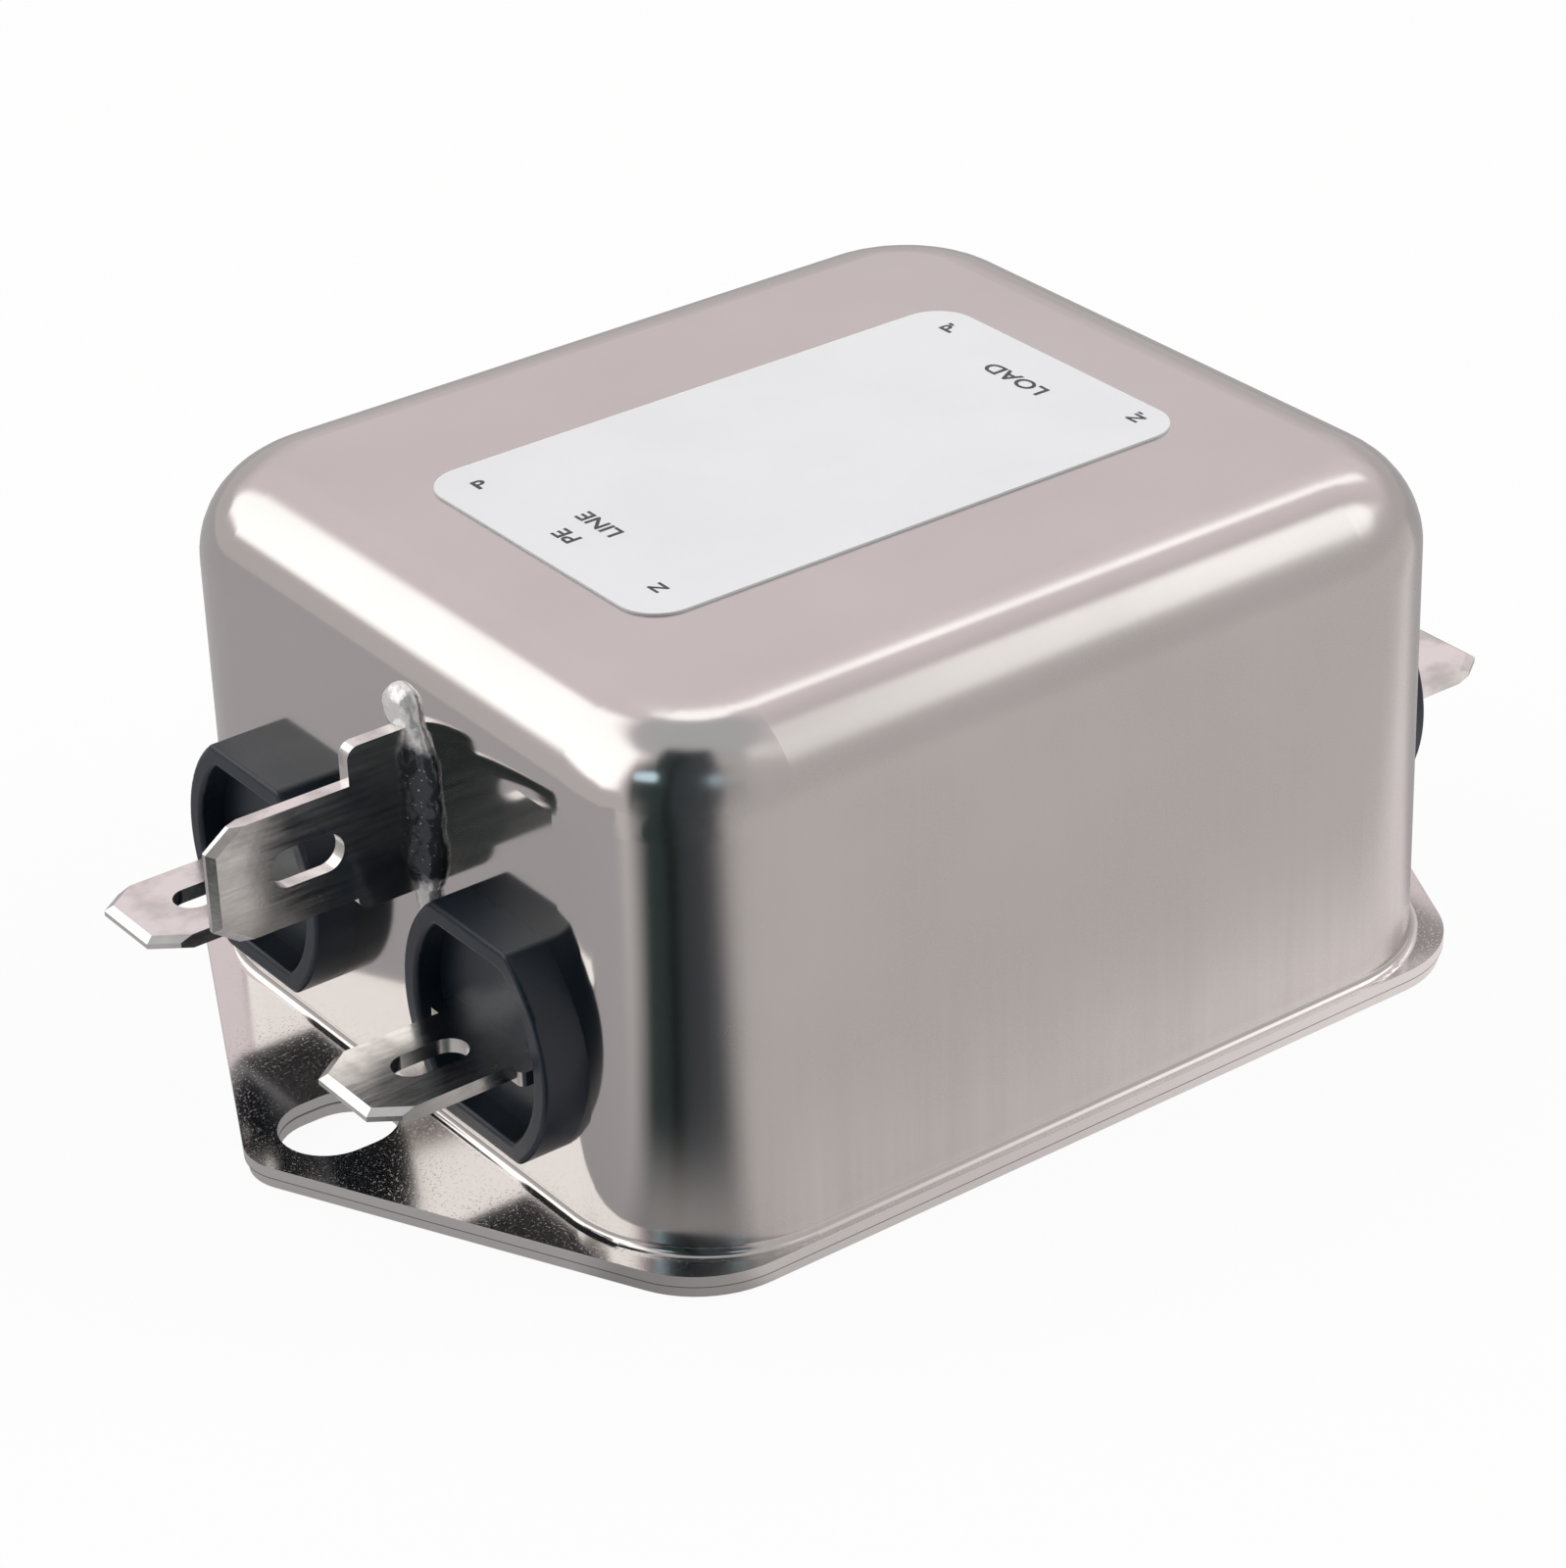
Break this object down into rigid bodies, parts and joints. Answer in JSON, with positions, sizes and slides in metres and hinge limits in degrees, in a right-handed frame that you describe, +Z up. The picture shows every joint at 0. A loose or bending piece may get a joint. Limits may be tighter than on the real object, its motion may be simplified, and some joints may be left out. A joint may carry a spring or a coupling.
{
  "type": "EMI line filter",
  "caption": "Chassis-mount EMI line filter: a drawn metal can on an eared base plate, with flat tab terminals in moulded bushings and a soldered upright earth tab.",
  "frame": {"origin": "centre of the base plate's underside", "axes": "+X from the line end to the load end, +Z up out of the mounting surface"},
  "size_m": [0.0746, 0.0476, 0.0294],
  "materials": {
    "can_plating": "tin-plated drawn steel, satin to bright",
    "label_film": "pale matt label film with dark print",
    "terminal_tin": "tin-plated brass",
    "solder": "bright solder",
    "bushing_plastic": "black moulded plastic, satin",
    "liner_film": "insulating sheet",
    "ferrite": "sintered ferrite",
    "case_plastic": "moulded insulating plastic",
    "enamelled_copper": "enamelled copper wire",
    "capacitor_box": "moulded plastic box",
    "capacitor_disc": "epoxy-coated disc",
    "resistor_body": "lacquered resistor body"
  },
  "bodies": {
    "root": {"can": "can_plating", "base_plate": "can_plating", "rating_label": "label_film", "earth_terminal": "terminal_tin", "earth_solder_joint": "solder", "line_bushing_p": "bushing_plastic", "line_bushing_n": "bushing_plastic", "load_bushing_p": "bushing_plastic", "load_bushing_n": "bushing_plastic", "line_terminal_p": "terminal_tin", "line_terminal_n": "terminal_tin", "load_terminal_p": "terminal_tin", "load_terminal_n": "terminal_tin", "insulating_liner": "liner_film", "choke_core": "ferrite", "choke_case": "case_plastic", "choke_case_lid": "case_plastic", "choke_divider": "case_plastic", "choke_winding_p": "enamelled_copper", "choke_winding_n": "enamelled_copper", "line_capacitor": "capacitor_box", "load_capacitor": "capacitor_box", "earth_capacitor_p": "capacitor_disc", "earth_capacitor_n": "capacitor_disc", "bleed_resistor": "resistor_body"}
  },
  "joints": []
}
